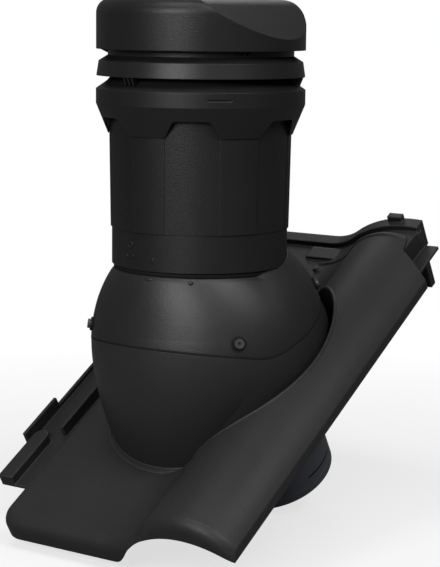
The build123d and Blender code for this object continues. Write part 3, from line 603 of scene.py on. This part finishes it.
def dome_skin():
    """Cubic profiles: reach = foot (1 - s) + top s + the top's slope (v^3 - v^2), s = 3v^2 - 2v^3."""
    top_rise = rim_rise(front_turn, skin_top)[:, None]
    top_reach = ellipsoid_reach(top_rise)
    slope = -dome_radius**2 / dome_height**2 * (top_rise - dome_rise) / top_reach
    v = np.linspace(1, -0.01, 60)[None]
    ease = v**2 * (3 - 2 * v)
    reach = foot_reach[:, None] * (1 - ease) + top_reach * ease + slope * top_rise * (v**3 - v**2)
    turn = front_turn[:, None] + 0 * v
    outside = round_dome(turn, reach - skin_fit, top_rise * v)
    inside = round_dome(turn, np.minimum(reach, dome_radius) - skin_wall, top_rise * v)
    return np.concatenate([outside, inside[:, ::-1]], axis=1)


looped_piece("dome_skin", dome_skin(), tile_plastic)

# %% [markdown]
# Two dark lines finish the hood, and both are painted shade. A thin dark band in the rubber finish
# lies along the gap between its rim and the dome, as far back as the rim lies above the dome's widest
# line, in place of the shadow in that gap. Another lies round the neck below the sleeve's foot,
# in place of the shadow that the sleeve throws there. Both are thin closed bands, one along the
# rim's path on the ellipsoid and one round the pipe's axis.

# %% Painted shade at the rim and the neck
rim_shade_top, rim_shade_middle, rim_shade_foot, rim_shade_sink = 0.0001, 0.0008, 0.0015, -0.0006
rim_shade_edge, rim_shade_crown = 0.00015, 0.00018
band_inside, band_outside, band_top, band_foot = 0.0754, 0.0772, -0.0002, -0.0046


def rim_shade_strip():
    """A flat band on the ellipsoid, given at each turn by five points (below the rim, proud of the dome)."""
    turn = np.radians(np.linspace(-223.5, 43.5, 270))
    outer = [(rim_shade_top, rim_shade_edge), (rim_shade_middle, rim_shade_crown), (rim_shade_foot, rim_shade_edge)]
    lines = []
    for below, proud in [(rim_shade_top, rim_shade_sink), *outer, (rim_shade_foot, rim_shade_sink)]:
        rise = rim_rise(turn, below)
        lines.append(round_dome(turn, ellipsoid_reach(rise) + proud, rise))
    return np.stack(lines, axis=1)


def neck_shade_band():
    """A band round the pipe's axis, 0.4 mm into the neck and 1.4 mm proud of it, below the sleeve."""
    turn = np.linspace(0, 2 * np.pi, 240, endpoint=False)[None]
    reach = np.array([band_inside, band_inside, band_outside, band_outside])[:, None] + 0 * turn
    height = sleeve_foot + np.array([band_top, band_foot, band_foot, band_top])[:, None] + 0 * turn
    return round_pipe(turn + 0 * reach, reach, height)


# Painted shade: dark bands where the shadows at the hood's rim and under the sleeve fall.
looped_piece("rim_shade_strip", rim_shade_strip(), seal_rubber)
looped_piece("neck_shade_band", neck_shade_band(), seal_rubber, wrap=True)

# %% [markdown]
# Just under the sleeve the hood has a small round nub and a low lip that guide the twist lock. Their
# carrier lies flat on the shoulder: its origin is a point of it, and its height runs along the
# normal there, which is the cross product of the two directions in which the surface runs.

# %% Guides on the hood
def on_shoulder(layout, angle, drop):
    """Lays a flat layout on the shoulder, at an angle about the pipe and a drop below the sleeve's foot."""
    turn, height, step = math.radians(angle), sleeve_foot - drop, 1e-4
    turns = np.array((turn, turn + step, turn))
    heights = np.array((height, height, height + step))
    here, beside, above = round_pipe(turns, shoulder_reach(turns, heights), heights)
    side = (beside - here) / np.linalg.norm(beside - here)
    out = np.cross(side, above - here)
    out /= np.linalg.norm(out)
    return here + layout[..., :1] * side + layout[..., 1:2] * np.cross(out, side) + layout[..., 2:] * out


nub, lip = oval(0.0021, 0.0021), oval(0.0042, 0.0013)
looped_piece("guide_nub", on_shoulder(blister(nub, 0.0018), -60.2, 0.0078), hood_plastic)
looped_piece("guide_lip", on_shoulder(blister(lip, 0.0008), -88.5, 0.0070), hood_plastic)

# %% [markdown]
# On the right, below the tile, a short dark slit runs part of the way round the spigot, where a
# clamp's tongue goes in. The spigot is a cylinder whose axis is square to the tile, and the slit keeps
# one place along that axis. Its darkness is painted shade: a thin band in the dark rubber finish, a
# tenth of a millimetre proud, stands in for the shadow inside the slit.

# %% Painted shade of the slit in the spigot
spigot_foot, spigot_radius = np.array((0, -0.149141, -0.06918)), 0.05785
slit_place, slit_half_width, slit_taper = 0.106, 0.0009, math.radians(2)


def spigot_slit_shade():
    """A band on the cylinder: place = foot + along * axis + reach * (cos a * x + sin a * second side)."""
    turn = np.radians(np.linspace(-22, 20, 40))
    half_width = slit_half_width * end_taper(turn, slit_taper, 0.05)
    axis, second = -off_tile, np.cross(-off_tile, across_tile)
    across = np.array((-1, -1, -0.5, 0.5, 1, 1))
    reach = spigot_radius + np.array((-0.0006, 0.00006, 0.00012, 0.00012, 0.00006, -0.0006))
    along = slit_place + half_width[:, None] * across[None]
    way = np.cos(turn)[:, None] * across_tile + np.sin(turn)[:, None] * second
    return spigot_foot + along[..., None] * axis + reach[None, :, None] * way[:, None]


# Painted shade: a dark band where the slit's shadow falls.
looped_piece("spigot_slit_shade", spigot_slit_shade()[::-1], seal_rubber)

# %% [markdown]
# The vent stands over white paper. Real white paper would throw so much light up that black plastic
# turns grey underneath, so this paper throws back little. The camera still sees it pale, with the
# object's shadow close by, and it turns to plain white further out.

# %% White paper
def white_paper(name, shade, bounce, middle, clear, near, far):
    """Matt paper that throws back little light; the camera sees it pale, fading to white from near to far."""
    material, shader, place = new_material(name)
    tree = place.tree
    fibres = place.node("ShaderNodeTexNoise", Vector=place, Scale=3.0)
    seen = place.node("ShaderNodeLightPath", out="Is Camera Ray")
    paper = place.mix(fibres, (shade,) * 3, (0.99 * shade,) * 3)
    connect(place.mix(seen, (bounce,) * 3, paper), shader, "Base Color")
    shader.inputs["Roughness"].default_value = 0.9
    away = place.node("ShaderNodeVectorMath", {"operation": "SUBTRACT"}, i0=place, i1=middle)
    away = place.node("ShaderNodeVectorMath", {"operation": "LENGTH"}, out="Value", i0=away)
    fade = ((away - near) * (1 / (far - near))).clamp(0.0, 1.0)
    white = place.node("ShaderNodeEmission", Color=(1, 1, 1, 1))
    blend = place.node("ShaderNodeMixShader", Fac=seen * (clear + (1 - clear) * fade), i2=white)
    tree.links.new(shader.outputs[0], blend.socket.node.inputs[1])
    tree.links.new(blend.socket, tree.nodes["Material Output"].inputs["Surface"])
    return material


floor_gap, floor_reach = 0.004, 6.0
floor_depth = cad_box[0][2] - floor_gap
floor_middle = (0, -0.2, floor_depth)
floor_paper = white_paper("floor_paper", 0.9, bounce=0.18, middle=floor_middle, clear=0.7, near=0.3, far=0.9)
sides = ((-1, -1), (1, -1), (1, 1), (-1, 1))
floor_corners = [(floor_reach * x, floor_reach * y, floor_depth) for x, y in sides]
floor_mesh = bpy.data.meshes.new("floor")
floor_mesh.from_pydata(floor_corners, [], [(0, 1, 2, 3)])
floor_mesh.materials.append(floor_paper)
floor = bpy.data.objects.new("floor", floor_mesh)
bpy.context.scene.collection.objects.link(floor)
print("floor at", round(floor_depth, 4))

# %% [markdown]
# Four soft lamps light the vent: the key lamp high on the right, a wide low one in front and a
# little left of the camera, a smaller one almost overhead, and a weak one behind for the edges. The
# world is white to the camera and to light passing through, much weaker in reflections, and weaker
# still where it lights the object, so that the lamps alone shape the black plastic.

# %% World and lamps
room_light, reflected = 0.03, 0.12
lamp_aim = Vector((0, -0.2, 0.1))

world = bpy.data.worlds.new("studio")
bpy.context.scene.world = world
world.use_nodes = True
path = world.node_tree.nodes.new("ShaderNodeLightPath")
rays = ("Is Camera Ray", "Is Glossy Ray", "Is Transmission Ray")
camera_ray, glossy_ray, passing_ray = (Wire(world.node_tree, path.outputs[ray]) for ray in rays)
seen = camera_ray.math("MAXIMUM", camera_ray, passing_ray)
seen = seen.math("MAXIMUM", seen, (reflected - room_light) / (1 - room_light) * glossy_ray)
strength = room_light + (1 - room_light) * seen
background = world.node_tree.nodes["Background"]
background.inputs["Color"].default_value = (1, 1, 1, 1)
world.node_tree.links.new(strength.socket, background.inputs["Strength"])


def lamp(name, place, width, height, power):
    """A rectangular area lamp at place, turned to face the object."""
    data = bpy.data.lights.new(name, "AREA")
    data.shape = "RECTANGLE"
    data.size = width
    data.size_y = height
    data.energy = power
    light = bpy.data.objects.new(name, data)
    light.location = place
    light.rotation_euler = (lamp_aim - Vector(place)).to_track_quat("-Z", "Y").to_euler()
    bpy.context.scene.collection.objects.link(light)


lamp("key", (1.47, -0.74, 1.78), width=1.5, height=1.2, power=31)
lamp("front", (0.25, -2.35, 0.89), width=1.2, height=0.7, power=32)
lamp("high", (-0.15, -1.05, 2.23), width=0.8, height=0.8, power=14)
lamp("rim", (-0.9, 1.2, 1.5), width=0.9, height=0.9, power=5)
bpy.context.scene.view_settings.view_transform = "Standard"
print("lamps:", [light.name for light in bpy.data.lights])
